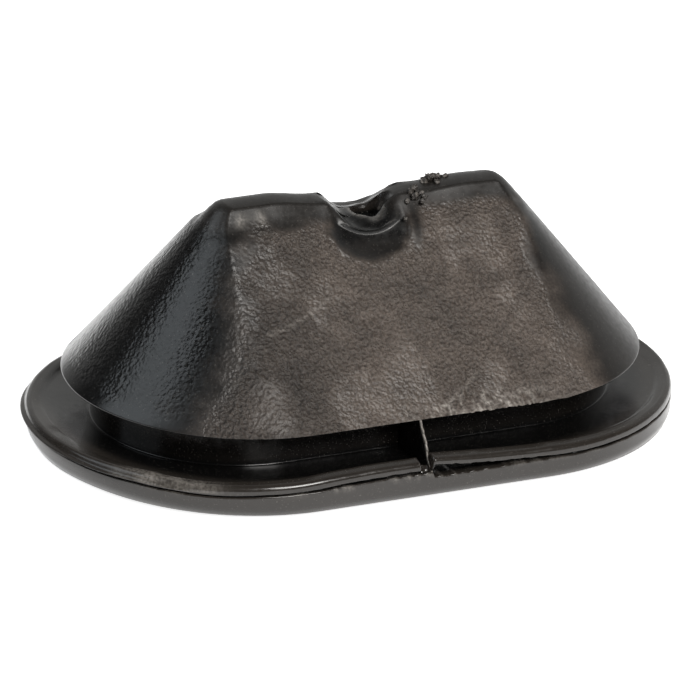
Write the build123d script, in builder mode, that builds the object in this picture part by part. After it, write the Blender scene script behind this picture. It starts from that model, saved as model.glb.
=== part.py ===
"""Rubber bung: a hollow moulded stopper with a flange, a panel groove and a tapered hood.

One moulded piece, open underneath. The flange lies flat on its underside, so +Z runs up
through the hood, +X runs along the flange and the origin is the middle of the underside.
"""

import os
from math import atan, cos, degrees, radians, sin

from build123d import *

# Driving sizes in millimetres
end_centres = 22.1
flange_width = 37.9
flange_thickness = 3.7
underside_radius = 2.2

# Moulding line round the flange edge
line_height = 2.45
line_gap = 0.22
line_depth = 0.35
open_line_gap = 0.85
open_line_length = 13.0
open_line_depth = 0.8

# Raised bead along the top of the flange edge
bead_width = 1.9
bead_height = 0.8
bead_slope = 0.45

# Neck that fills the hole in the panel, and the groove that grips the panel's edge
neck_centres = 24.2
neck_width = 24.2
neck_foot_chamfer = 0.4
rim_height = 6.5

# Tapered hood
rim_width = 32.0
rim_edge = 0.35
hood_height = 22.3
top_length = 28.0
top_width = 2.8
top_radius = 1.1

# Hollow, open at the underside
neck_wall = 2.6
hood_wall = 2.4
roof_thickness = 3.6
mouth_chamfer = 0.4

# Torn, sagging notch across the top: it falls a little to the back and runs aslant
notch_centre = 0.85
notch_depth = 2.65
notch_left_run = 4.4
notch_right_run = 5.2
notch_fall = 1.5
notch_skew = 8.5

# Dimple in the front slope below the notch
dimple_place = -0.45
dimple_width = 7.8
dimple_depth = 0.7
dimple_height = 20.2

# Spout in the notch, bowled round a flattened hole into the hollow
spout_place = 0.8
spout_offset = -0.3
spout_base_radius = 3.5
spout_top_radius = 1.75
spout_height = 0.7
bowl_width = 3.2
bowl_depth = 0.4
hole_length = 2.6
hole_width = 2.0

# Thin web left in the groove where the halves of the mould met
web_place = -0.8
web_thickness = 0.5
web_root = 0.4

flange_top = flange_thickness - bead_height
lip_bottom = line_height + line_gap / 2
notch_floor = hood_height - notch_depth
roof = hood_height - roof_thickness
taper_height = hood_height - rim_height - rim_edge
slope = (rim_width - top_width) / 2 / taper_height
lean = degrees(atan(slope))
end_lean = degrees(atan((end_centres + rim_width - top_length) / 2 / taper_height))
notch_rise = notch_depth / 4

# A ball that sinks the dimple's depth into the slope leaves a round of the dimple's width
dimple_ball = (dimple_width**2 / 4 + dimple_depth**2) / 2 / dimple_depth

# The hollow keeps the hood's slope, one wall inside it
roof_width = top_width + 2 * slope * roof_thickness - 2 * hood_wall / cos(atan(slope))
hollow_width = neck_width - 2 * neck_wall
taper_start = roof - (hollow_width - roof_width) / 2 / slope
dimple_front = top_width / 2 + slope * (hood_height - dimple_height)


# The notch is drawn across its own direction, which points forwards and up
notch_turn, notch_drop = radians(notch_skew), radians(notch_fall)
notch_plane = Plane(
    origin=(notch_centre, 0, hood_height),
    x_dir=(cos(notch_turn), -sin(notch_turn), 0),
    z_dir=(-sin(notch_turn) * cos(notch_drop), -cos(notch_turn) * cos(notch_drop), sin(notch_drop)),
)

with BuildPart() as bung:
    # Lower half of the flange
    with BuildSketch():
        SlotCenterToCenter(end_centres, flange_width)
    extrude(amount=line_height - line_gap / 2)
    fillet(bung.faces().sort_by(Axis.Z)[0].edges(), underside_radius)

    # Floor of the moulding line, set in from the edge
    with BuildSketch(Plane.XY.offset(line_height - line_gap / 2)):
        SlotCenterToCenter(end_centres, flange_width - 2 * line_depth)
    extrude(amount=line_gap)

    # Lip above the line, and the bead that its hollowed top leaves along the edge
    with BuildSketch(Plane.XY.offset(lip_bottom)):
        SlotCenterToCenter(end_centres, flange_width)
    extrude(amount=flange_thickness - lip_bottom)
    with BuildSketch(Plane.XY.offset(flange_thickness)):
        SlotCenterToCenter(end_centres, flange_width - 2 * bead_width)
    extrude(amount=-bead_height, mode=Mode.SUBTRACT)
    chamfer(bung.faces().sort_by(Axis.Z)[-1].edges(), bead_slope)

    # The lip has lifted off the lower half to the right of the web
    with BuildSketch(Plane.XZ.offset(flange_width / 2)):
        with BuildLine():
            Polyline(
                (web_place, lip_bottom - open_line_gap),
                (web_place + open_line_length, lip_bottom - line_gap),
                (web_place + open_line_length, lip_bottom),
                (web_place, lip_bottom),
                close=True,
            )
        make_face()
    extrude(amount=-open_line_depth, mode=Mode.SUBTRACT)

    # Neck
    with BuildSketch(Plane.XY.offset(flange_top)):
        SlotCenterToCenter(neck_centres, neck_width)
    extrude(amount=rim_height - flange_top)
    chamfer(bung.edges(Select.LAST).group_by(Axis.Z)[0], neck_foot_chamfer)

    # Hood: a thin upright rim, then a taper to the long narrow top
    with BuildSketch(Plane.XY.offset(rim_height)):
        SlotCenterToCenter(end_centres, rim_width)
    extrude(amount=rim_edge)
    with BuildSketch(Plane.XY.offset(rim_height + rim_edge)):
        SlotCenterToCenter(end_centres, rim_width)
    extrude(amount=taper_height, taper=end_lean)

    # Its long faces lean further in than its ends
    for side in (-1, 1):
        with BuildSketch(Plane.YZ):
            with BuildLine():
                Polyline(
                    (side * rim_width / 2, rim_height + rim_edge),
                    (side * top_width / 2, hood_height),
                    (side * rim_width / 2, hood_height),
                    close=True,
                )
            make_face()
        extrude(amount=rim_width, both=True, mode=Mode.SUBTRACT)
    fillet(bung.faces().sort_by(Axis.Z)[-1].edges(), top_radius)

    # Hollow: upright through the neck, then drawn in under the hood's slopes
    with BuildSketch():
        SlotCenterToCenter(neck_centres, hollow_width)
    extrude(amount=taper_start, mode=Mode.SUBTRACT)
    with BuildSketch(Plane.XY.offset(taper_start)):
        SlotCenterToCenter(neck_centres, hollow_width)
    extrude(amount=roof - taper_start, taper=lean, mode=Mode.SUBTRACT)
    chamfer(bung.faces().sort_by(Axis.Z)[0].inner_wires()[0].edges(), mouth_chamfer)

    # Notch: a smooth valley, steeper on the left
    with BuildSketch(notch_plane):
        with BuildLine():
            Spline(
                (-notch_left_run, notch_rise),
                (-notch_left_run / 2, -notch_depth * 0.7),
                (0, -notch_depth),
                (notch_right_run / 2, -notch_depth / 2),
                (notch_right_run, notch_rise),
            )
            Line((notch_right_run, notch_rise), (-notch_left_run, notch_rise))
        make_face()
    extrude(amount=rim_width / 4, both=True, mode=Mode.SUBTRACT)

    # Shallow dimple in the front slope below the notch
    with Locations((dimple_place, -dimple_front, dimple_height)):
        with Locations(Rotation(90 - lean, 0, 0)):
            with Locations((0, 0, dimple_ball - dimple_depth)):
                Sphere(dimple_ball, mode=Mode.SUBTRACT)

    # Spout rooted in the roof, and the hole through it
    with BuildSketch(Plane.XY.offset(roof)):
        with Locations((spout_place, spout_offset)):
            Circle(spout_base_radius)
    with BuildSketch(Plane.XY.offset(notch_floor + spout_height)):
        with Locations((spout_place, spout_offset)):
            Circle(spout_top_radius)
    loft()
    with Locations((spout_place, spout_offset, notch_floor + spout_height - bowl_depth / 2)):
        Cone(hole_width / 2, bowl_width / 2, bowl_depth, mode=Mode.SUBTRACT)
    with BuildSketch(Plane.XY.offset(hood_height)):
        with Locations((spout_place, spout_offset)):
            Ellipse(hole_length / 2, hole_width / 2)
    extrude(amount=-roof_thickness * 2, mode=Mode.SUBTRACT)

    # Web from the hood's rim to the flange's edge, rooted in the neck, the rim and the flange
    with BuildSketch(Plane.YZ.offset(web_place)):
        with BuildLine():
            Polyline(
                (-neck_width / 2 + web_root, flange_top - web_root),
                (-neck_width / 2 + web_root, rim_height + web_root),
                (-rim_width / 2 + web_root, rim_height + web_root),
                (-rim_width / 2, rim_height),
                (-flange_width / 2, lip_bottom - open_line_gap),
                (-flange_width / 2 + bead_width, lip_bottom - open_line_gap),
                close=True,
            )
        make_face()
    extrude(amount=web_thickness / 2, both=True)

bung.part.label = "bung"
os.makedirs("parts", exist_ok=True)
export_step(bung.part, "parts/bung.step")
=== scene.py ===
"""Rubber bung: the moulded body with its worn finish, the web in its groove, the crumbs of
rubber torn out of its notch, and the plain studio that it stands in."""

import math

import bpy
import mathutils
import numpy as np
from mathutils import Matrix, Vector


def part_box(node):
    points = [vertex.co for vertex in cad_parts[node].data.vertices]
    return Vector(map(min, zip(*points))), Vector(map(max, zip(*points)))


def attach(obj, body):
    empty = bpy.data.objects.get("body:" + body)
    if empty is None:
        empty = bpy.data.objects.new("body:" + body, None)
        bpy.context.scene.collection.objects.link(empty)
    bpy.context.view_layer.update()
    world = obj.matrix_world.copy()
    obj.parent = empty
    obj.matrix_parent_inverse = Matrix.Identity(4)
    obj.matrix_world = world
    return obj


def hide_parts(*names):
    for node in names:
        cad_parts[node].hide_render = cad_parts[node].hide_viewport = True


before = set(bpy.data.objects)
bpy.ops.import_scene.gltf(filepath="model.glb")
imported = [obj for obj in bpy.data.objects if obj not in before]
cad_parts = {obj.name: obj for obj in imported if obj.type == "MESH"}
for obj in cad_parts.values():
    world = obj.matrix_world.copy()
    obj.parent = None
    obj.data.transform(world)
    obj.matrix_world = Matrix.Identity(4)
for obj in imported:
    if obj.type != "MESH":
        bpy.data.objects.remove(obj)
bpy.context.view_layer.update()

# Body: flange, neck, hood and hollow are one piece of black rubber, moulded in a two-part
# tool with a core. It is a closed profile carried round an oblong outline, so the hole in
# its top and the mouth of its hollow are the two ends of one skin with no seam or pole.
MM = 0.001
low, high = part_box("bung")
length, width, top = ((high[i] - low[i]) / MM for i in range(3))

# Moulding line round the flange's edge
LINE, LINE_HALF, LINE_DEPTH = 2.45, 0.11, 0.35

# Flange and the bead along its edge
FLANGE_TOP, LIP_TOP = 2.55, 3.55
BEAD_FOOT_RADIUS, BEAD_TOP_RADIUS = 17.3, 17.75

# Neck, and the hood from its rim to its ridge
NECK_RADIUS, NECK_CENTRE = 12.12, 12.12
RIM, RIM_EDGE, RIM_RADIUS = 6.5, 0.12, 16.0
HOOD_CENTRE, SHOULDER = 10.9, 18.3
TIP_RADIUS, RIDGE_HALF = 2.95, 1.4

# Hollow, its roof and the hole through it
HOLLOW_RADIUS, HOLLOW_CENTRE, HOLLOW_TAPER = 9.5, 12.1, 10.3
MOUTH_EASE = 0.4
ROOF, ROOF_RADIUS = 18.7, 1.5
HOLE, HOLE_RADIUS, HOLE_CENTRE, HOLE_HALF = (1.05, -0.05), 1.3, 0.10, 0.93

end_radius = width / 2
end_centre = length / 2 - end_radius
rim_top = RIM + RIM_EDGE
share = (top - SHOULDER) / (top - rim_top)
shoulder_radius = TIP_RADIUS + (RIM_RADIUS - TIP_RADIUS) * share
shoulder_half = RIDGE_HALF + (RIM_RADIUS - RIDGE_HALF) * share
lip_bottom = LINE + LINE_HALF
lip_radius = end_radius - 0.06
line_radius = end_radius - LINE_DEPTH
mouth_radius = HOLLOW_RADIUS + MOUTH_EASE

# Each corner of the profile: name, end radius, height, end centre, half width, middle x,
# middle y, easing, rows on the run that follows. A half width under the radius is a flat side.
corners = [
    ("hole", HOLE_RADIUS, 20.0, HOLE_CENTRE, HOLE_HALF, *HOLE, 0.10, 5),
    ("collar", 2.0, top, 0.5, 1.03, 0.8, -0.04, 0.0, 13),
    ("cap", 1.7, top, HOOD_CENTRE, 1.08, 0.0, -0.03, 0.0, 4),
    ("crest", TIP_RADIUS, top, HOOD_CENTRE, RIDGE_HALF, 0.0, 0.0, 1.8, 42),
    ("shoulder", shoulder_radius, SHOULDER, HOOD_CENTRE, shoulder_half, 0.0, 0.0, 0.0, 56),
    ("rim top", RIM_RADIUS, rim_top, HOOD_CENTRE, RIM_RADIUS, 0.0, 0.0, 0.06, 1),
    ("rim low", RIM_RADIUS, RIM, HOOD_CENTRE, RIM_RADIUS, 0.0, 0.0, 0.06, 7),
    ("neck top", NECK_RADIUS, RIM + 0.25, NECK_CENTRE, NECK_RADIUS, 0.0, 0.0, 0.30, 7),
    ("neck foot", NECK_RADIUS, FLANGE_TOP, NECK_CENTRE, NECK_RADIUS, 0.0, 0.0, 0.18, 10),
    ("bead foot", BEAD_FOOT_RADIUS, FLANGE_TOP, 11.0, BEAD_FOOT_RADIUS, 0.0, 0.0, 0.20, 4),
    ("bead top", BEAD_TOP_RADIUS, LIP_TOP, 11.02, BEAD_TOP_RADIUS, 0.0, 0.0, 0.30, 4),
    ("lip edge", lip_radius, LIP_TOP - 0.3, end_centre, lip_radius, 0.0, 0.0, 0.40, 3),
    ("lip bottom", end_radius, lip_bottom, end_centre, end_radius, 0.0, 0.0, 0.08, 2),
    ("line top", line_radius, lip_bottom, end_centre, line_radius, 0.0, 0.0, 0.02, 1),
    ("line floor", line_radius, LINE - LINE_HALF, end_centre, line_radius, 0.0, 0.0, 0.02, 1),
    ("lower edge", end_radius, LINE - LINE_HALF, end_centre, end_radius, 0.0, 0.0, 0.12, 4),
    ("underside", end_radius, 0.0, end_centre, end_radius, 0.0, 0.0, 2.15, 5),
    ("mouth", mouth_radius, 0.0, HOLLOW_CENTRE, mouth_radius, 0.0, 0.0, 0.0, 2),
    ("throat", HOLLOW_RADIUS, MOUTH_EASE, HOLLOW_CENTRE, HOLLOW_RADIUS, 0.0, 0.0, 0.0, 5),
    ("hollow", HOLLOW_RADIUS, HOLLOW_TAPER, HOLLOW_CENTRE, HOLLOW_RADIUS, 0.0, 0.0, 1.2, 8),
    ("roof", ROOF_RADIUS, ROOF, HOLLOW_CENTRE, ROOF_RADIUS, 0.0, 0.0, 0.3, 5),
    ("roof hole", HOLE_RADIUS, ROOF, HOLE_CENTRE, HOLE_HALF, *HOLE, 0.10, 3),
]
EASE_ROWS = 4


def profile_rows(corners, ease_rows):
    """Rows round the closed profile, and the row that each corner starts at. A run is straight
    between two corners. A corner C is eased from A to B, each the easing away from it, by
    (1-t)^2 A + 2t(1-t) C + t^2 B."""
    values = np.array([corner[1:7] for corner in corners])
    rows, start = [], {}
    for i, corner in enumerate(corners):
        before, here, after = values[i - 1], values[i], values[(i + 1) % len(corners)]
        reach, following = corner[7], corners[(i + 1) % len(corners)][7]
        size_in, size_out = (max(np.hypot(*(p - here)[:2]), 1e-6) for p in (before, after))
        start[corner[0]] = len(rows)
        if reach:
            a = here + (before - here) * min(reach / size_in, 0.49)
            b = here + (after - here) * min(reach / size_out, 0.49)
            t = np.linspace(0, 1, ease_rows)[:, None]
            rows.extend((1 - t) ** 2 * a + 2 * t * (1 - t) * here + t**2 * b)
        else:
            rows.append(here)
        end = after + (here - after) * min(following / size_out, 0.49)
        t = np.linspace(0, 1, corner[8] + 2)[1:-1, None]
        rows.extend(rows[-1] * (1 - t) + end * t)
    return np.array(rows), start


def outline(right, back, left, front):
    """Samples round an oblong: an angle, and which end centre it turns about. The counts are
    those of the right end, the back, the left end and the front, which has the wear. On the
    straight sides they crowd towards the middle, by 0.5 u + 0.5 u^3 on the back and by
    0.65 u + 0.35 u^3 on the front."""
    half = np.pi / 2
    angle = np.concatenate([
        np.linspace(-half, half, right, endpoint=False),
        np.full(back, half),
        np.linspace(half, 3 * half, left, endpoint=False),
        np.full(front, 3 * half),
    ])
    u_back, u_front = (np.linspace(1, -1, n, endpoint=False) for n in (back, front))
    side = np.concatenate([
        np.ones(right),
        0.5 * u_back + 0.5 * u_back**3,
        -np.ones(left),
        -0.65 * u_front - 0.35 * u_front**3,
    ])
    return angle, side


def swept(rows, angle, side):
    """Grid of points: x is the middle, plus or minus the end centre, plus radius times cos;
    y is radius times sin, held within the half width."""
    radius, height, centre, half, mid_x, mid_y = (rows[:, i, None] for i in range(6))
    x = mid_x + side * centre + radius * np.cos(angle)
    y = mid_y + np.clip(radius * np.sin(angle), -half, half)
    return np.stack([x, y, np.broadcast_to(height, x.shape)], axis=-1)


def grid_normals(points):
    """Unit normals of a grid closed both ways: the cross product of its two differences."""
    down = np.roll(points, -1, axis=0) - np.roll(points, 1, axis=0)
    along = np.roll(points, -1, axis=1) - np.roll(points, 1, axis=1)
    normal = np.cross(down, along)
    return normal / np.maximum(np.linalg.norm(normal, axis=-1, keepdims=True), 1e-9)


def noise(points, size, seed):
    """Smooth noise between -1 and 1: random values at the corners of cubes of one size,
    blended between them by 3t^2 - 2t^3."""
    q = points / size
    cell = np.floor(q).astype(np.int64)
    t = q - cell
    t = t * t * (3 - 2 * t)
    total = np.zeros(points.shape[:-1])
    for corner in np.ndindex(2, 2, 2):
        c = cell + corner
        h = c[..., 0] * 73856093 ^ c[..., 1] * 19349663 ^ c[..., 2] * 83492791 ^ seed * 2654435761
        h = (h ^ (h >> 13)) * 1274126177 & 0xFFFFFFFF
        value = ((h ^ (h >> 16)) & 0xFFFF) / 32767.5 - 1
        weight = np.ones(total.shape)
        for axis in range(3):
            weight = weight * (t[..., axis] if corner[axis] else 1 - t[..., axis])
        total += value * weight
    return total


def smooth_step(value, start, end):
    """0 before start, 1 after end, 3t^2 - 2t^3 between them."""
    t = np.clip((value - start) / (end - start), 0, 1)
    return t * t * (3 - 2 * t)


def between(value, rise_start, rise_end, fall_start, fall_end):
    """0, up to 1 over the rise and back to 0 over the fall, each a smooth_step."""
    return smooth_step(value, rise_start, rise_end) * (1 - smooth_step(value, fall_start, fall_end))


def bell(value, centre, spread):
    """Gaussian hump of height 1."""
    return np.exp(-(((value - centre) / spread) ** 2))


def oval(across, down, centre, radii):
    """Distance from the centre of an oval as a share of its radii, so 1 lies on the oval."""
    return np.hypot((across - centre[0]) / radii[0], (down - centre[1]) / radii[1])


rows, start = profile_rows(corners, EASE_ROWS)
angle, side = outline(56, 60, 70, 176)
body = swept(rows, angle, side)
number = np.arange(len(rows))[:, None]


def span(first, last, skip=0, extra=0):
    """Whether each row lies from one corner up to another. Skip leaves out rows at the first
    corner, and extra takes in rows at the last."""
    return (number >= start[first] + skip) & (number < start[last] + extra)


def from_spine():
    """Distance of each point of the body from the line that joins the two end centres."""
    return np.hypot(np.maximum(np.abs(x) - end_centre, 0), y)


hood = number < start["rim top"] + EASE_ROWS
rim_rows = span("rim top", "rim low", extra=EASE_ROWS)
flange_rows = span("neck foot", "lip edge", skip=EASE_ROWS)
bead_rows = span("bead foot", "lip bottom", skip=EASE_ROWS)
lip_rows = span("bead foot", "line top", skip=EASE_ROWS, extra=EASE_ROWS)
ledge_rows = span("bead top", "line floor")
line_rows = span("lip bottom", "underside")
deep_rows = span("line top", "lower edge")
lower_rows = span("line floor", "mouth")

# x, y and z are views of the body's points, so they follow each change that is made to it
x, y, z = np.moveaxis(body, -1, 0)

# Front slope: the distance down it from the top, and the outward lean of its face
lean = math.atan2(top - rim_top, RIM_RADIUS - RIDGE_HALF)
down_slope = (top - z) / math.sin(lean)
front = y < 0
front_face = hood & front & (z < top - 0.3)

# Dimple: the front slope is drawn in below the collar of the spout. The two are ovals, whose
# centres are given by x and by the distance down the slope.
DIMPLE_AT, DIMPLE_RADII, DIMPLE_DEPTH = (-0.35, 2.9), (3.9, 3.5), 0.85
COLLAR_AT, COLLAR_RADII = (0.15, 0.70), (3.1, 2.35)
dimple = oval(x, down_slope, DIMPLE_AT, DIMPLE_RADII)
collar = oval(x, down_slope, COLLAR_AT, COLLAR_RADII)
drawn = np.clip(1 - dimple**2, 0, 1) ** 0.9 * smooth_step(collar, 0.92, 1.18)
draw = DIMPLE_DEPTH * drawn * front_face
body[..., 1] += draw * math.sin(lean)
body[..., 2] -= draw * math.cos(lean)

# Ridge: its top is crowned, by 0.13 y^2
CROWN = 0.13
body[..., 2] -= CROWN * np.minimum(y**2, 4.0) * hood * smooth_step(z, 19.5, 21.5)

# Notch: the top is torn down to a saddle, over which a low mound stands round the hole, with
# a bowl in it. The notch runs aslant from its front end, and its right side narrows to the
# back. The saddle meets the top by a smooth minimum, -log(e^(-s top) + e^(-s saddle)) / s.
NOTCH_AT, NOTCH_RUN, NOTCH_SKEW, NOTCH_DEPTH = (0.26, -3.85), 7.9, 0.149, 3.15
NOTCH_LEFT, NOTCH_RIGHT, NOTCH_NARROWING = 3.85, 2.7, 0.3
SADDLE_LIFT = 0.5
MOUND_AT, MOUND_HEIGHT, BOWL_DEPTH = (0.85, -0.25), 0.7, 0.45
SHARP = 10.0
across = np.clip((y - NOTCH_AT[1]) / NOTCH_RUN, 0, 1)
offset = x - NOTCH_AT[0] - (y - NOTCH_AT[1]) * NOTCH_SKEW
cut = np.where(
    offset < 0,
    np.exp(-np.abs(offset / NOTCH_LEFT) ** 3.5),
    np.exp(-np.abs(offset / (NOTCH_RIGHT - NOTCH_NARROWING * across)) ** 2),
)
from_hole = np.hypot(x - MOUND_AT[0], y - MOUND_AT[1])
mound = MOUND_HEIGHT * (1 - smooth_step(from_hole, 1.5, 3.3))
mound -= BOWL_DEPTH * (1 - smooth_step(from_hole, 0.9, 1.5))
torn = 0.05 * noise(body, 0.7, 11) + 0.06 * noise(body, 1.9, 12)
saddle = top + SADDLE_LIFT - NOTCH_DEPTH * cut + mound + torn
lowered = -np.logaddexp(-SHARP * z, -SHARP * saddle) / SHARP
body[..., 2] = np.where(hood & (cut > 0.05) & (z > 18), lowered, z)

# The hood stands a little higher on the left, and a little lower right of the notch
LEFT_RISE = 0.55
rise = LEFT_RISE * smooth_step(-x, 4.0, 9.0) - 0.05 * bell(x, -3.6, 2.4)
rise -= 0.20 * bell(x, 6.0, 2.2) + 0.10 * smooth_step(x, 10.0, 13.0)
body[..., 2] += rise * np.clip((z - 8) / 14, 0, 1) * hood

# Flange: at the ends its top is dished right up to the lip, with no bead
DISH_RISE, DISH_START, DISH_RUN = 0.82, 12.4, 6.2
end_turn = np.cos(angle) ** 2 * (np.abs(side) >= 0.999)
from_centre = np.hypot(np.abs(x) - end_centre, y)
dished = FLANGE_TOP + DISH_RISE * np.clip((from_centre - DISH_START) / DISH_RUN, 0, 1) ** 1.4
body[..., 2] += end_turn**0.7 * (dished - z) * flange_rows * (from_centre < 18.4)

# Flash: at the left end the mould's halves left a thin ledge round the lip
FLASH = 0.42
ledge = bell(number, start["lip bottom"], 2.2) * ledge_rows
flash = FLASH * smooth_step(-np.cos(angle), 0.55, 0.95) * (side < 0) * ledge
body[..., 0] += flash * np.cos(angle)
body[..., 1] += flash * np.sin(angle)

# The bead wavers, and the edge that the mould's halves left is ragged, most of all in front
body[..., 2] += 0.03 * noise(body, 1.6, 21) * bead_rows
ragged = 0.05 * noise(body, 0.45, 22) + 0.05 * noise(body, 2.4, 23)
body[..., 2] += ragged * line_rows * (0.35 + 0.65 * smooth_step(-y, 8, 16) * smooth_step(x, -9, -5))

# To the right of the web the lip has lifted off the lower half, and to its left it is curled
WEB = -0.8
OPENING, OPENING_RUN = 0.92, 15.5
past_web = smooth_step(x, WEB - 0.1, WEB + 0.1)
opened = np.clip(1 - (x - WEB) / OPENING_RUN, 0, 1) ** 2 * past_web * (y < -16)
curled = (0.40 * smooth_step(x, -16, -6) - 0.2 * bell(x, -21, 4)) * (1 - past_web) * (y < -12)
lifted = curled + opened * (OPENING - 0.25 * smooth_step(z, LINE, LIP_TOP))
body[..., 2] += lifted * smooth_step(from_spine(), 17.2, 17.7) * lip_rows
body[..., 2] += (0.8 * curled - 0.1 * opened) * smooth_step(z, 1.0, 2.2) * lower_rows
body[..., 1] += 0.9 * (opened > 0.02) * deep_rows

# Next to the web, on its left, the bead is torn away
tear = between(x, WEB - 1.3, WEB - 1.0, WEB - 0.15, WEB) * (y < -16)
rough = 1 + 0.25 * noise(body, 0.4, 31)
body[..., 2] -= tear * rough * smooth_step(z, 2.4, 3.3) * lip_rows
body[..., 1] += 0.75 * tear * rough * smooth_step(-y, 17.0, 18.6) * lip_rows

# The underside is drawn further in at the left end
DRAWN_IN = 0.4
drawn_in = DRAWN_IN * smooth_step(-np.cos(angle), 0.2, 0.95) * (side < 0)
drawn_in = drawn_in * smooth_step(LINE - z, 0.3, 2.3)
body[..., 0] += drawn_in * span("lower edge", "mouth")

# Fringe: the rim's edge is ragged to the right of the web
fringe = between(x, 3.0, 5.0, 12.5, 15.5) * (y < -14)
whisker = np.clip(noise(body, 0.22, 33) + 0.15, 0, 1)
body[..., 1] -= 0.16 * whisker * fringe * rim_rows
body[..., 2] -= 0.10 * whisker * fringe * rim_rows

# Face: how far each point belongs to the two long faces, which the mould's spark-worn steel
# left grainy. They flare on to the ends going down, and are worn smooth in the notch and in
# a streak that runs aslant right of it. In the dimple under the notch and in a patch below
# it the face is taken down as painted shade, which leaves those places dark.
left_end = -13.0 - 0.33 * (21 - z) - 0.6 * np.clip(13 - z, 0, 8)
right_end = 13.4 + 0.21 * (21.4 - z) + 0.30 * np.clip(12 - z, 0, 8)
drift = 1.2 * noise(body, 2.8, 41) + 0.7 * noise(body, 1.0, 44)
face = between(x + drift, left_end - 2.2, left_end + 2.4, right_end - 2.2, right_end + 2.4)
ripple = 0.35 * np.sin((x + 13.2) * 0.9) * smooth_step(-x, 6, 9)
face *= 1 - smooth_step(z + 0.25 * drift - ripple, 20.3, 21.3)
# Painted shade: the dust and grain are taken out of the dimple, so it shows dark
dimple_shade = smooth_step(1.22 - dimple + 0.12 * noise(body, 0.9, 46), 0.0, 0.45) * front
face *= hood * (1 - 0.92 * dimple_shade)
face *= 1 - 0.85 * smooth_step(cut, 0.2, 0.5) * smooth_step(z, 18.6, 19.3)
aslant = x - 0.33 * (z - 19)
streak = bell(aslant, 3.9, 0.6) * smooth_step(z, 17.0, 19.5) * front
face *= 1 - 0.8 * streak
# Painted shade: a dark patch below the notch, where the dust is taken down
below_notch_shade = bell(x, 0.2, 4.4) * smooth_step(z, 18.2, 20.2) * front
face *= 1 - 0.6 * below_notch_shade
smooth_patch = smooth_step(noise(body * (1, 1, 0.8), 3.6, 42) + 0.4 * noise(body, 1.3, 45), 0.0, 0.6)
grain = face * (1 - 0.45 * smooth_patch)

# Marks in the skin: a crease beside the streak, a scratch at the left, a wavy line under the
# ridge and a crescent near the rim. The numbers that sum them are heights in millimetres.
relief = 0.05 * noise(body, 0.6, 1) + 0.05 * noise(body, 1.2, 2) + 0.05 * noise(body, 3.4, 3)
normal = grid_normals(body)
crease = bell(aslant, 3.0, 0.35) * smooth_step(z, 16.0, 17.5) * front * (z < 21)
scratch = bell(z - 13.75 - 0.26 * (x + 13.2) + 0.2 * np.sin((x + 13) * 0.5), 0, 0.10) * front
scratch *= between(x, -13.4, -12.6, -6.4, -5.4)
wavy = bell(z, 21.5 + ripple, 0.11) * between(x, -14.2, -13.4, -9, -7.6) * front
crescent = bell(x, 1.0 + 4.6 * smooth_step(z, 6.4, 9.4), 0.3) * between(z, 6.4, 7.0, 8.8, 9.6)
crescent *= front * (y < -13)
height = relief * grain - 0.10 * crease - 0.08 * scratch + 0.05 * wavy - 0.12 * crescent
body += normal * (height * hood)[..., None]

# Moulded skins are never quite flat
waves = 0.03 * noise(body, 7.0, 5) + 0.012 * noise(body, 2.2, 6)
body += normal * (waves * (z > 0.5) * (z < top - 0.3))[..., None]


def grid_faces(row_count, column_count):
    """Quads of a grid closed both ways, as corner indices."""
    i = np.arange(row_count)[:, None]
    j = np.arange(column_count)[None, :]
    down = (i + 1) % row_count
    along = (j + 1) % column_count
    around = (i, j), (down, j), (down, along), (i, along)
    quads = np.broadcast_arrays(*[a * column_count + b for a, b in around])
    return np.stack(quads, axis=-1).reshape(-1, 4)


def new_piece(name, points, faces):
    """A mesh object at the origin, its points given in millimetres, smooth all over."""
    mesh = bpy.data.meshes.new(name)
    mesh.from_pydata((points.reshape(-1, 3) * MM).tolist(), [], faces)
    mesh.validate()
    mesh.shade_smooth()
    piece = bpy.data.objects.new(name, mesh)
    bpy.context.collection.objects.link(piece)
    return piece


def give(piece, **numbers):
    """Numbers for the points of a piece, one each or one for all, which its material reads
    by their names."""
    for name, values in numbers.items():
        attribute = piece.data.attributes.new(name, "FLOAT", "POINT")
        each = np.broadcast_to(np.asarray(values, np.float32).ravel(), len(attribute.data))
        attribute.data.foreach_set("value", np.ascontiguousarray(each))


body_piece = new_piece("bung_body", body, grid_faces(*body.shape[:2]).tolist())

# Bloom is the dust on the long faces, less under the ridge at the left. Its fall to half at
# their left end is painted shade, and it carries the painted shade of the dimple and of the patch below
# the notch.
right_cone = smooth_step(x, 14, 18) * hood
bloom = np.clip(np.maximum(face, 0.10 * right_cone), 0, 1) * (0.5 + 0.5 * smooth_step(x, -13, -3))
bloom *= 1 - 0.6 * smooth_step(z, 20.3, 21.4) * smooth_step(-x, 2, 5)

# Film is the greyed skin of the flange, and it makes the neck a little lighter. On the
# ridge it is a painted sheen. The moulding line is bare.
film = smooth_step(from_spine(), 15.2, 17.2) * span("neck foot", "mouth")
film = np.maximum(film, lower_rows)
# Painted sheen: the top of the ridge is greyed
film = np.maximum(film, 0.45 * smooth_step(z, 20.4, 21.4))
film = np.maximum(film, 0.35 * span("neck top", "neck foot"))
film *= ~deep_rows

# Scuff is rubber torn or chafed pale: round the spout, along the hem of the hood, on the
# ragged line and in the marks. On the bead at the left end it is a painted reflection of
# the window, and along the crescent a painted highlight
crest = bell(from_hole, 1.6, 0.22) * (y < 0.6) * (z < 21) * hood * (number < start["shoulder"])
u_line = bell(collar, 0.98, 0.045) * front * hood * (z < 21)
bristle = smooth_step(noise(body * (1, 1, 0.12), 0.24, 34), -0.1, 0.6)
hem = between(x, -4.0, 3.0, 8, 14) * (1 - smooth_step(z, 6.8, 8.4)) * front * hood
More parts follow.
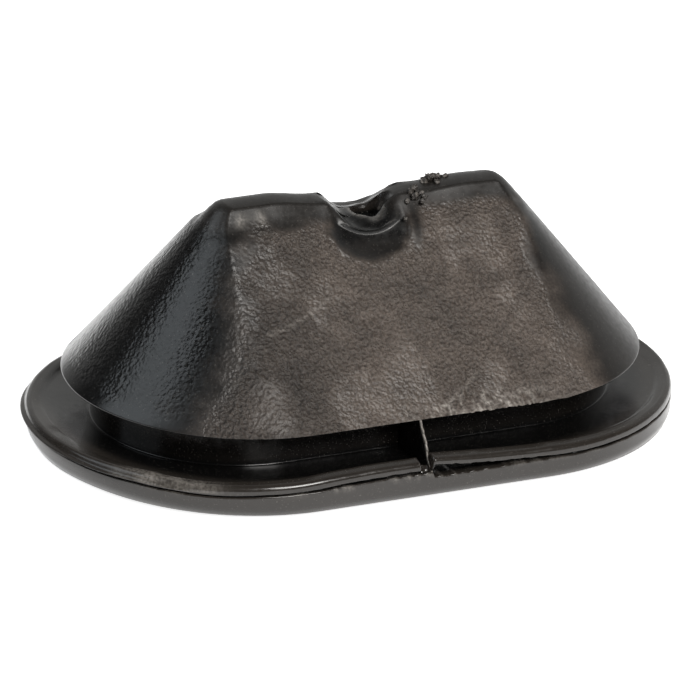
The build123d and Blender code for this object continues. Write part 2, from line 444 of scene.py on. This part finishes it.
# Painted reflection: the bead at the left end is painted pale where the window's light glances off it
painted_bead_reflection = between(-x, 19, 23, 27, 29) * smooth_step(-y, 8, 12) * bead_rows
scuff = 0.8 * whisker * fringe * rim_rows + 0.4 * crest + 0.06 * u_line
# The pale along the crescent is a painted highlight; on the wavy line and the scratch it is torn rubber
scuff += 0.5 * wavy + 0.4 * scratch + 0.3 * crescent
scuff += 1.1 * hem * bristle
scuff += 0.5 * np.clip(ragged * 12, 0, 1) * line_rows * bell(z, LINE, 0.3) * smooth_step(-y, 8, 16)
scuff += painted_bead_reflection * (0.36 + 0.25 * noise(body, 1.4, 35) + 0.25 * noise(body, 0.4, 36))

# Dull is lost gloss. Grain fades at the edges of the long faces, and the left end is pebbled.
dull = 0.7 * smooth_step(x, left_end - 3.5, left_end - 1.0) * hood
dull *= 1 - 0.5 * smooth_step(cut, 0.2, 0.5) * smooth_step(z, 18.6, 19.3)
dull = np.maximum(dull, np.maximum(2.5 * face, bell(collar, 1.05, 0.25) * front * hood))
pebbled = (1 - smooth_step(x, -16, -11)) * (1 - face) * hood * smooth_step(z, 6.6, 8)
grain *= 0.4 + 0.6 * smooth_step(face, 0.3, 0.9)
grain += 0.30 * pebbled + 0.02
give(
    body_piece, dull=np.clip(dull, 0, 1), bloom=bloom, grain=np.clip(grain, 0, 1),
    film=np.clip(film, 0, 1), scuff=np.clip(scuff, 0, 1),
)


def srgb(code):
    """Linear colour of a hex code: ((c + 0.055) / 1.055)^2.4, or c / 12.92 where dark."""
    parts = [int(code[i:i + 2], 16) / 255 for i in (1, 3, 5)]
    return [((c + 0.055) / 1.055) ** 2.4 if c > 0.04045 else c / 12.92 for c in parts] + [1.0]


def add(tree, kind, settings=None, **inputs):
    """A node with its settings, and its inputs, named or as i0, i1, set or linked. A node that
    is given for an input is linked by its first output in use."""
    node = tree.nodes.new(kind)
    for name, value in (settings or {}).items():
        setattr(node, name, value)
    for name, value in inputs.items():
        numbered = name[0] == "i" and name[1:].isdigit()
        socket = node.inputs[int(name[1:]) if numbered else name.replace("_", " ")]
        if isinstance(value, bpy.types.Node):
            value = next(output for output in value.outputs if output.enabled)
        if isinstance(value, bpy.types.NodeSocket):
            tree.links.new(value, socket)
        else:
            socket.default_value = value
    return node


# Sizes of the patterns in the rubber, in millimetres, and its colours
FINE_GRAIN, COARSE_GRAIN, PITS, PATCHES, DOTS = 0.24, 0.50, 0.36, 3.2, 0.16
BARE, TORN_AND_GLINT, SPECK = "#080808", "#a39d96", "#8f8a84"
DUST_LOW, DUST_HIGH = "#443b35", "#665c54"
AGED_AND_SHEEN_DARK, AGED_AND_SHEEN_PALE = "#231f1c", "#322e2a"
GLOSSY, MATT = 0.18, 0.43
GRAIN_HEIGHT = 0.32


def rubber_material():
    """Carbon-black rubber off a steel mould: near black with a wax gloss where it is clean,
    brown-grey and matt where bloom and dust sit in the grain of its long faces, and greyed
    by handling on the flange. Where the dust is taken off as painted shade it shows dark, the
    grey on the ridge is a painted sheen, and some of the pale is painted highlight and
    reflection. Grain is 0.25 to 0.5 mm, a little coarser than the real one."""
    material = bpy.data.materials.new("moulded_rubber")
    material.use_nodes = True
    tree = material.node_tree
    tree.nodes.clear()
    bloom, dull, grain, film, scuff = (
        add(tree, "ShaderNodeAttribute", {"attribute_name": name}).outputs["Fac"]
        for name in ("bloom", "dull", "grain", "film", "scuff")
    )
    place = add(tree, "ShaderNodeTexCoord").outputs["Object"]
    fine = add(tree, "ShaderNodeTexNoise", Vector=place, Scale=1 / (FINE_GRAIN * MM), Detail=2.0)
    coarse = add(tree, "ShaderNodeTexNoise", Vector=place, Scale=1 / (COARSE_GRAIN * MM), Detail=3.0)
    patch = add(tree, "ShaderNodeTexNoise", Vector=place, Scale=1 / (PATCHES * MM), Detail=4.0)
    dots = add(tree, "ShaderNodeTexNoise", Vector=place, Scale=1 / (DOTS * MM), Detail=1.0)
    pits = add(
        tree, "ShaderNodeTexVoronoi", {"feature": "SMOOTH_F1"},
        Vector=place, Scale=1 / (PITS * MM), Smoothness=0.5,
    )

    # Colour: dust lies on the high grain, and the bare rubber shows between
    high_grain = add(tree, "ShaderNodeMapRange", Value=fine, From_Min=0.3, From_Max=0.7)
    dust = add(
        tree, "ShaderNodeMix", {"data_type": "RGBA"}, i0=high_grain,
        i6=srgb(DUST_LOW), i7=srgb(DUST_HIGH),
    )
    worn = add(
        tree, "ShaderNodeMapRange", Value=patch,
        From_Min=0.3, From_Max=0.7, To_Min=0.65, To_Max=1.1,
    )
    # Painted shade: where the amount of dust is cut, the face shows dark
    dust_and_shade_amount = add(tree, "ShaderNodeMath", {"operation": "MULTIPLY"}, i0=bloom, i1=worn)
    colour = add(tree, "ShaderNodeMix", {"data_type": "RGBA"}, i0=dust_and_shade_amount, i6=srgb(BARE), i7=dust)
    # Film: greyed skin on the flange, and a painted sheen on the ridge
    aged_and_sheen = add(
        tree, "ShaderNodeMix", {"data_type": "RGBA"}, i0=patch,
        i6=srgb(AGED_AND_SHEEN_DARK), i7=srgb(AGED_AND_SHEEN_PALE),
    )
    colour = add(tree, "ShaderNodeMix", {"data_type": "RGBA"}, i0=film, i6=colour, i7=aged_and_sheen)

    # Scuffs and specks are torn or chafed rubber, which is pale. Part of the scuff is a painted highlight
    # on the crescent and a painted reflection on the bead at the left end.
    broken = add(
        tree, "ShaderNodeMapRange", Value=fine,
        From_Min=0.35, From_Max=0.6, To_Min=0.35, To_Max=1.0,
    )
    pale = add(tree, "ShaderNodeMath", {"operation": "MULTIPLY"}, i0=scuff, i1=broken)
    colour = add(tree, "ShaderNodeMix", {"data_type": "RGBA"}, i0=pale, i6=colour, i7=srgb(TORN_AND_GLINT))
    speck = add(
        tree, "ShaderNodeMapRange", Value=dots,
        From_Min=0.66, From_Max=0.76, To_Min=0.0, To_Max=0.18,
    )
    colour = add(tree, "ShaderNodeMix", {"data_type": "RGBA"}, i0=speck, i6=colour, i7=srgb(SPECK))

    # Gloss: wax on the bare rubber, broken by dust
    gloss = add(tree, "ShaderNodeMapRange", Value=dull, To_Min=GLOSSY, To_Max=MATT)
    uneven = add(
        tree, "ShaderNodeMapRange", Value=coarse,
        From_Min=0.3, From_Max=0.7, To_Min=-0.05, To_Max=0.07,
    )
    rough = add(tree, "ShaderNodeMath", {"operation": "ADD"}, i0=gloss, i1=uneven)

    relief = add(tree, "ShaderNodeMath", {"operation": "MULTIPLY_ADD"}, i0=coarse, i1=1.5, i2=fine)
    relief = add(tree, "ShaderNodeMath", {"operation": "ADD"}, i0=relief, i1=pits)
    strength = add(tree, "ShaderNodeMath", {"operation": "POWER"}, i0=grain, i1=1.8)
    bump = add(tree, "ShaderNodeBump", Strength=strength, Distance=GRAIN_HEIGHT * MM, Height=relief)
    shader = add(
        tree, "ShaderNodeBsdfPrincipled", IOR=1.52,
        Base_Color=colour, Roughness=rough, Normal=bump,
    )
    out = add(tree, "ShaderNodeOutputMaterial")
    tree.links.new(shader.outputs["BSDF"], out.inputs["Surface"])
    return material


rubber = rubber_material()
body_piece.data.materials.append(rubber)
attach(body_piece, "root")
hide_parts("bung")

# Web: a skin of rubber that leaked between the halves of the mould. It is fixed to the neck,
# the hood's rim and the flange, and its outer edge is torn thin and white.
WEB_THICKNESS = 0.5
WEB_ROWS, WALL_ROWS = 70, 26
EDGE_Y, EDGE_SPLAY = -15.9, 3.0
ROOTED = 0.3


def web_grid(edge_rows, wall_rows):
    """Closed grid: u runs down the torn edge, and v out along one wall and back along the
    other. A wall runs straight from the neck to the edge, which is straight too.
    The thickness falls to a third at the edge and to nothing at the two buried ends."""
    u = np.linspace(0, 1, edge_rows)[:, None]
    out = np.linspace(0, 1, wall_rows)
    v = np.concatenate([out, out[::-1]])[None, :]
    wall = np.concatenate([-np.ones(wall_rows), np.ones(wall_rows)])[None, :]
    edge_y = EDGE_Y - EDGE_SPLAY * u
    edge_z = (RIM + 0.15) * (1 - u) + (LINE - 0.45) * u
    root_y = -NECK_RADIUS + ROOTED
    root_z = (RIM + ROOTED) * (1 - u) + (FLANGE_TOP - ROOTED) * u
    y = root_y * (1 - v) + edge_y * v
    z = root_z * (1 - v) + edge_z * v
    points = np.stack([np.full(y.shape, WEB), y, z], axis=-1)
    torn = (0.16 * noise(points, 0.3, 51) + 0.14 * noise(points, 0.9, 52)) * smooth_step(v, 0.7, 1.0)
    points[..., 1] += torn * np.sin(np.pi * u) ** 0.5
    closing = np.clip(np.sin(np.pi * u) * 12, 0, 1)
    half = WEB_THICKNESS / 2 * (1 - 0.66 * smooth_step(v, 0.6, 1.0)) * closing
    points[..., 0] += half * wall + 0.10 * noise(points, 1.2, 53) * v
    return points, np.broadcast_to(v, y.shape)


# The faces that would join the web's last row to its first are left out
web, reach = web_grid(WEB_ROWS, WALL_ROWS)
web_piece = new_piece("groove_web", web, grid_faces(*web.shape[:2])[:-2 * WALL_ROWS].tolist())
give(web_piece, bloom=0, dull=0, grain=0.3, film=0, scuff=0.75 * smooth_step(reach, 0.93, 0.99))
web_piece.data.materials.append(rubber)
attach(web_piece, "root")
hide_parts("bung")

# Crumbs: shreds of rubber torn out of the notch, still held by their roots in the ridge and
# in the front edge right of the notch, pale where they are freshly torn. Each has its x, y
# and z, and its size.
CRUMBS = [
    (6.9, 0.3, 22.25, 0.38), (7.3, 0.2, 22.45, 0.30), (7.0, -0.1, 22.60, 0.20), (7.8, 0.4, 22.35, 0.30),
    (8.2, 0.5, 22.30, 0.24), (8.7, 0.3, 22.30, 0.20), (6.5, 0.0, 22.10, 0.34), (7.5, -0.5, 22.10, 0.28),
    (4.9, -1.2, 22.15, 0.34), (5.2, -1.7, 21.90, 0.30), (4.7, -1.9, 21.70, 0.28), (5.3, -2.3, 21.30, 0.26),
    (4.5, -1.4, 22.00, 0.24), (5.6, -2.0, 21.60, 0.20), (3.9, -2.0, 21.40, 0.18), (3.1, -3.3, 20.35, 0.15),
]


def crumb(centre, size, seed):
    """Knobbly ball: rings of points between two poles, pushed in and out by noise."""
    rings, around = 11, 18
    tilt = np.linspace(0, np.pi, rings + 2)[1:-1, None]
    turn = np.linspace(0, 2 * np.pi, around, endpoint=False)[None, :]
    way = np.stack(np.broadcast_arrays(
        np.sin(tilt) * np.cos(turn), np.sin(tilt) * np.sin(turn), np.cos(tilt)), axis=-1).reshape(-1, 3)
    way = np.concatenate([way, [[0, 0, 1], [0, 0, -1]]])
    radius = size * (1 + 0.70 * noise(way, 0.6, seed) + 0.45 * noise(way, 0.3, seed + 1))
    points = np.array(centre) + way * radius[:, None] * (1.15, 0.9, 0.95)
    i, j = np.arange(rings - 1)[:, None] * around, np.arange(around)[None, :]
    following = (j + 1) % around
    quads = np.stack([i + j, i + around + j, i + around + following, i + following], axis=-1)
    first, last = np.arange(around), (rings - 1) * around + np.arange(around)
    up = np.stack([np.full(around, rings * around), first, np.roll(first, -1)], axis=-1)
    under = np.stack([np.full(around, rings * around + 1), np.roll(last, -1), last], axis=-1)
    return points, quads.reshape(-1, 4).tolist() + up.tolist() + under.tolist()


shreds, shred_faces = [], []
for seed, (*centre, size) in enumerate(CRUMBS):
    points, faces = crumb(centre, size, 60 + 2 * seed)
    first = sum(len(shred) for shred in shreds)
    shred_faces += [[corner + first for corner in face] for face in faces]
    shreds.append(points)
shreds = np.concatenate(shreds)
crumb_piece = new_piece("torn_crumbs", shreds, shred_faces)
pale = 0.05 + 0.35 * smooth_step(noise(shreds, 0.25, 99), 0.1, 0.5)
give(crumb_piece, bloom=0.3, dull=1, grain=0.6, film=0.8, scuff=pale)
crumb_piece.data.materials.append(rubber)
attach(crumb_piece, "root")
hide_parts("bung")

# Studio: a white table, a soft window high on the left, a lamp in front, and a room that is
# dark but for a pale wall behind the table on the right. The table's glow is seen by the
# camera and in gloss, and adds no soft light to the bung.
TABLE_HALF = 3.0
TABLE_GLOW = 0.9
table = [(i * TABLE_HALF, j * TABLE_HALF, 0) for i, j in ((-1, -1), (1, -1), (1, 1), (-1, 1))]
floor_mesh = bpy.data.meshes.new("floor")
floor_mesh.from_pydata(table, [], [(0, 1, 2, 3)])
floor = bpy.data.objects.new("floor", floor_mesh)
bpy.context.collection.objects.link(floor)
paper = bpy.data.materials.new("white_paper")
paper.use_nodes = True
tree = paper.node_tree
tree.nodes.clear()
seen = add(tree, "ShaderNodeLightPath").outputs
direct = add(
    tree, "ShaderNodeMath", {"operation": "MAXIMUM"},
    i0=seen["Is Camera Ray"], i1=seen["Is Glossy Ray"],
)
direct = add(
    tree, "ShaderNodeMath", {"operation": "MAXIMUM"},
    i0=direct, i1=seen["Is Transmission Ray"],
)
glow = add(tree, "ShaderNodeMath", {"operation": "MULTIPLY"}, i0=direct, i1=TABLE_GLOW)
sheet = add(
    tree, "ShaderNodeBsdfPrincipled", Base_Color=srgb("#fbfbfb"), Roughness=0.9,
    Emission_Color=srgb("#ffffff"), Emission_Strength=glow,
)
out = add(tree, "ShaderNodeOutputMaterial")
tree.links.new(sheet.outputs["BSDF"], out.inputs["Surface"])
floor_mesh.materials.append(paper)

world = bpy.data.worlds.new("room")
bpy.context.scene.world = world
world.use_nodes = True
tree = world.node_tree
tree.nodes.clear()
way = add(tree, "ShaderNodeTexCoord").outputs["Generated"]
pale_wall = np.array((0.55, 0.80, 0.15)) / math.hypot(0.55, 0.80, 0.15)
facing = add(tree, "ShaderNodeVectorMath", {"operation": "DOT_PRODUCT"}, i0=way, i1=pale_wall.tolist())
facing = add(
    tree, "ShaderNodeMapRange", {"interpolation_type": "SMOOTHSTEP"},
    Value=facing.outputs["Value"], From_Min=0.35, From_Max=0.85,
)
room = add(
    tree, "ShaderNodeMix", {"data_type": "RGBA"}, i0=facing,
    i6=(0.06, 0.06, 0.061, 1), i7=(0.50, 0.50, 0.49, 1),
)
background = add(tree, "ShaderNodeBackground", Color=room, Strength=1.0)
out = add(tree, "ShaderNodeOutputWorld")
tree.links.new(background.outputs["Background"], out.inputs["Surface"])


def soft_light(name, direction, distance, size, power, colour):
    """A square area light that looks at the object from one direction."""
    lamp = bpy.data.lights.new(name, "AREA")
    lamp.size = size
    lamp.energy = power
    lamp.color = colour
    light = bpy.data.objects.new(name, lamp)
    way = np.array(direction, float) / np.linalg.norm(direction)
    light.location = way * distance
    light.rotation_euler = (0, math.acos(way[2]), math.atan2(way[1], way[0]))
    bpy.context.collection.objects.link(light)


soft_light(
    "window", direction=(-0.68, 0.20, 0.70), distance=0.6, size=0.38, power=0.72,
    colour=(0.88, 0.95, 1.0),
)
soft_light(
    "lamp", direction=(0.10, -0.75, 0.65), distance=0.7, size=0.28, power=4.6,
    colour=(1.0, 0.98, 0.95),
)

# Camera: the photograph's view, from the front left, a little above, with a long lens. It
# aims at a point over the origin, at AIM_BASE, and then moves AIM_UP up the picture.
AZIMUTH, ELEVATION, ROLL = math.radians(-26.41), math.radians(22.32), math.radians(2.44)
DISTANCE = 1000.0
FOCAL_PIXELS = 11193.6
AIM_UP, AIM_BASE = 2.93, 3.7
IMAGE_PIXELS = 700
SENSOR = 36.0

backward = np.array([
    math.sin(AZIMUTH) * math.cos(ELEVATION),
    -math.cos(AZIMUTH) * math.cos(ELEVATION),
    math.sin(ELEVATION),
])
level = np.array([math.cos(AZIMUTH), math.sin(AZIMUTH), 0.0])
upward = np.cross(backward, level)
right = math.cos(ROLL) * level + math.sin(ROLL) * upward
above = -math.sin(ROLL) * level + math.cos(ROLL) * upward
stand = above * AIM_UP + np.array([0, 0, AIM_BASE]) + backward * DISTANCE
lens = bpy.data.cameras.new("camera")
lens.sensor_width = SENSOR
lens.lens = FOCAL_PIXELS / IMAGE_PIXELS * SENSOR
lens.clip_start = 0.01
lens.clip_end = 20
camera = bpy.data.objects.new("camera", lens)
matrix = np.eye(4)
matrix[:3, :] = np.stack([right, above, backward, stand * MM], axis=1)
camera.matrix_world = mathutils.Matrix(matrix.tolist())
bpy.context.collection.objects.link(camera)
bpy.context.scene.camera = camera
bpy.context.scene.view_settings.view_transform = "Standard"
